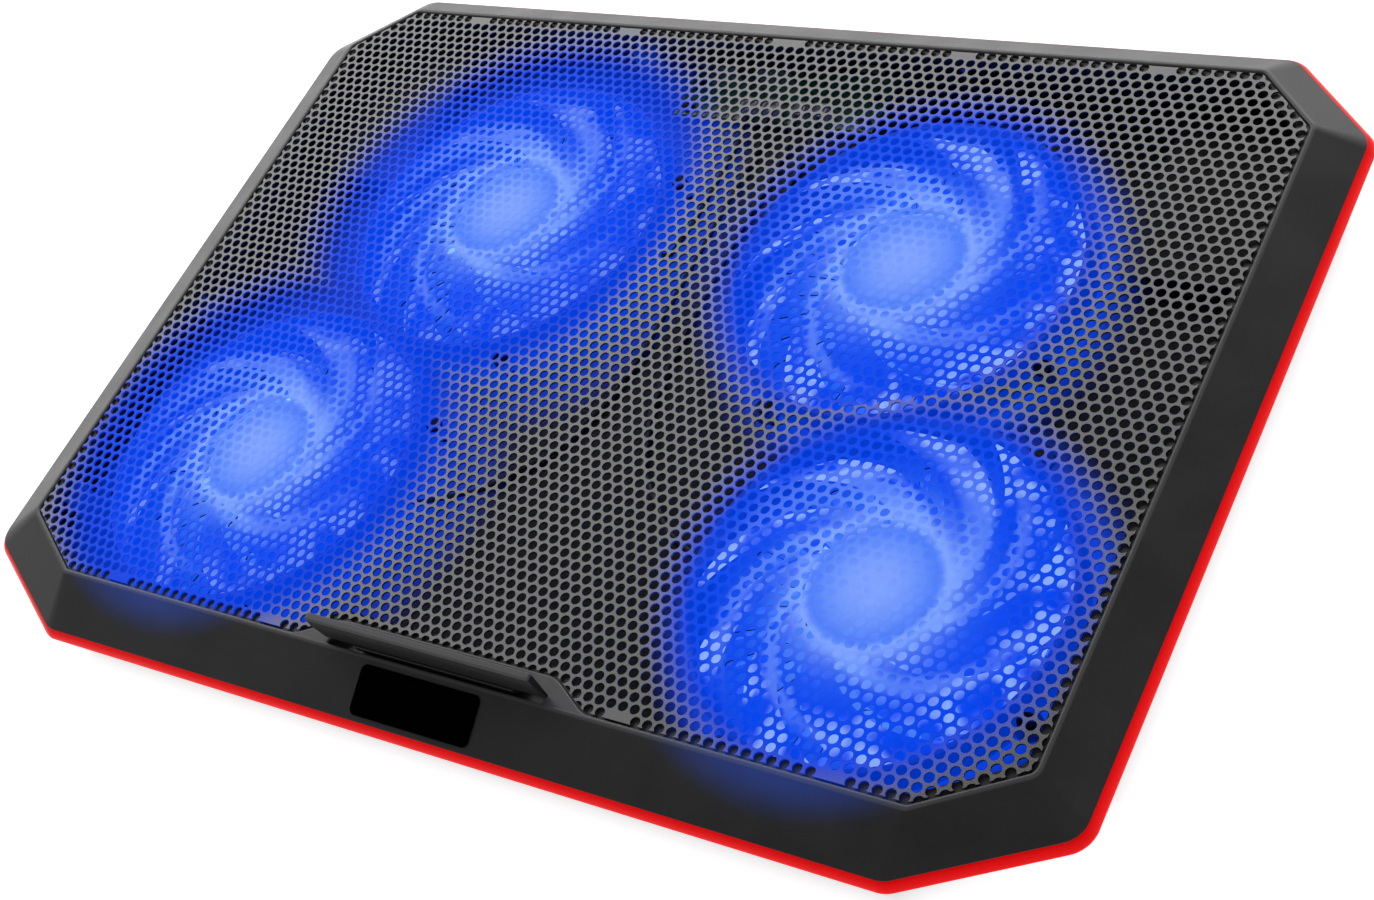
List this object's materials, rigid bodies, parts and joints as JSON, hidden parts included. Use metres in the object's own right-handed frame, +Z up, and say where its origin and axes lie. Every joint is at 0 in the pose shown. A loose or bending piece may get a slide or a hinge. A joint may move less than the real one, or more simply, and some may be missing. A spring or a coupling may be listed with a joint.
{
  "type": "laptop cooling pad",
  "caption": "Laptop cooling pad: low casing with clipped corners, perforated top over lit fans, fold-down front stopper and fold-out rear legs.",
  "frame": {"origin": "on the table under the middle of the casing", "axes": "+X to the right along the front edge, +Y to the back, +Z up"},
  "size_m": [0.3786, 0.2676, 0.036],
  "materials": {
    "frame_plastic": "fine-grained satin black",
    "grille_metal": "satin charcoal paint on perforated steel",
    "trim_red": "gloss red",
    "badge_gloss": "gloss black",
    "stopper_plastic": "satin charcoal",
    "steel": "bright steel",
    "cover_plastic": "textured black",
    "rubber": "matt black rubber",
    "circuit_board": "green solder mask",
    "socket_white": "off-white nylon",
    "usb_metal": "nickel plate",
    "knob_plastic": "black",
    "fan_plastic": "dark plastic lit blue",
    "blade_glow": "translucent blue, lit from within",
    "magnet": "dark ferrite",
    "bearing_brass": "sintered bronze",
    "stator_copper": "varnished copper and steel",
    "light_blue": "clear lens, lit blue",
    "lead_rubber": "black sleeve",
    "leg_plastic": "textured black"
  },
  "bodies": {
    "casing": {"top_frame": "frame_plastic", "grille": "grille_metal", "red_trim": "trim_red", "badge_plate": "badge_gloss", "stopper_pin": "steel", "bottom_cover": "cover_plastic", "rubber_feet": "rubber", "cover_screws": "steel", "fan_screws": "steel", "board_screws": "steel", "control_board": "circuit_board", "lead_sockets": "socket_white", "usb_port_left": "usb_metal", "usb_port_right": "usb_metal", "switch_body": "usb_metal", "leg_pin_left": "steel", "leg_pin_right": "steel", "fan_frame_front_left": "fan_plastic", "fan_bearing_front_left": "bearing_brass", "fan_stator_front_left": "stator_copper", "motor_board_front_left": "circuit_board", "fan_lights_front_left": "light_blue", "fan_lead_front_left": "lead_rubber", "fan_frame_front_right": "fan_plastic", "fan_bearing_front_right": "bearing_brass", "fan_stator_front_right": "stator_copper", "motor_board_front_right": "circuit_board", "fan_lights_front_right": "light_blue", "fan_lead_front_right": "lead_rubber", "fan_frame_rear_left": "fan_plastic", "fan_bearing_rear_left": "bearing_brass", "fan_stator_rear_left": "stator_copper", "motor_board_rear_left": "circuit_board", "fan_lights_rear_left": "light_blue", "fan_lead_rear_left": "lead_rubber", "fan_frame_rear_right": "fan_plastic", "fan_bearing_rear_right": "bearing_brass", "fan_stator_rear_right": "stator_copper", "motor_board_rear_right": "circuit_board", "fan_lights_rear_right": "light_blue", "fan_lead_rear_right": "lead_rubber"},
    "stopper": {"stopper_flap": "stopper_plastic"},
    "left_leg": {"leg_left": "leg_plastic", "leg_pad_left": "rubber"},
    "right_leg": {"leg_right": "leg_plastic", "leg_pad_right": "rubber"},
    "switch": {"switch_knob": "knob_plastic"},
    "front_left_rotor": {"fan_rotor_front_left": "blade_glow", "rotor_shaft_front_left": "steel", "rotor_magnet_front_left": "magnet"},
    "front_right_rotor": {"fan_rotor_front_right": "blade_glow", "rotor_shaft_front_right": "steel", "rotor_magnet_front_right": "magnet"},
    "rear_left_rotor": {"fan_rotor_rear_left": "blade_glow", "rotor_shaft_rear_left": "steel", "rotor_magnet_rear_left": "magnet"},
    "rear_right_rotor": {"fan_rotor_rear_right": "blade_glow", "rotor_shaft_rear_right": "steel", "rotor_magnet_rear_right": "magnet"}
  },
  "joints": [
    {"name": "stopper_hinge", "type": "hinge", "parent": "casing", "child": "stopper", "pos_m": [0, -0.11, 0.0225], "axis": [1, 0, 0], "range_deg": [-90, 0]},
    {"name": "left_leg_hinge", "type": "hinge", "parent": "casing", "child": "left_leg", "pos_m": [-0.15, 0.108, 0.0056], "axis": [1, 0, 0], "range_deg": [0, 100]},
    {"name": "right_leg_hinge", "type": "hinge", "parent": "casing", "child": "right_leg", "pos_m": [0.15, 0.108, 0.0056], "axis": [1, 0, 0], "range_deg": [0, 100]},
    {"name": "switch_slide", "type": "slide", "parent": "casing", "child": "switch", "axis": [1, 0, 0], "range_m": [0, 0.0025]},
    {"name": "front_left_spin", "type": "hinge", "parent": "casing", "child": "front_left_rotor", "pos_m": [-0.109, -0.0565, 0.012], "axis": [0, 0, 1], "continuous": true},
    {"name": "front_right_spin", "type": "hinge", "parent": "casing", "child": "front_right_rotor", "pos_m": [0.109, -0.0565, 0.012], "axis": [0, 0, 1], "continuous": true},
    {"name": "rear_left_spin", "type": "hinge", "parent": "casing", "child": "rear_left_rotor", "pos_m": [-0.072, 0.0455, 0.012], "axis": [0, 0, 1], "continuous": true},
    {"name": "rear_right_spin", "type": "hinge", "parent": "casing", "child": "rear_right_rotor", "pos_m": [0.072, 0.0455, 0.012], "axis": [0, 0, 1], "continuous": true}
  ]
}
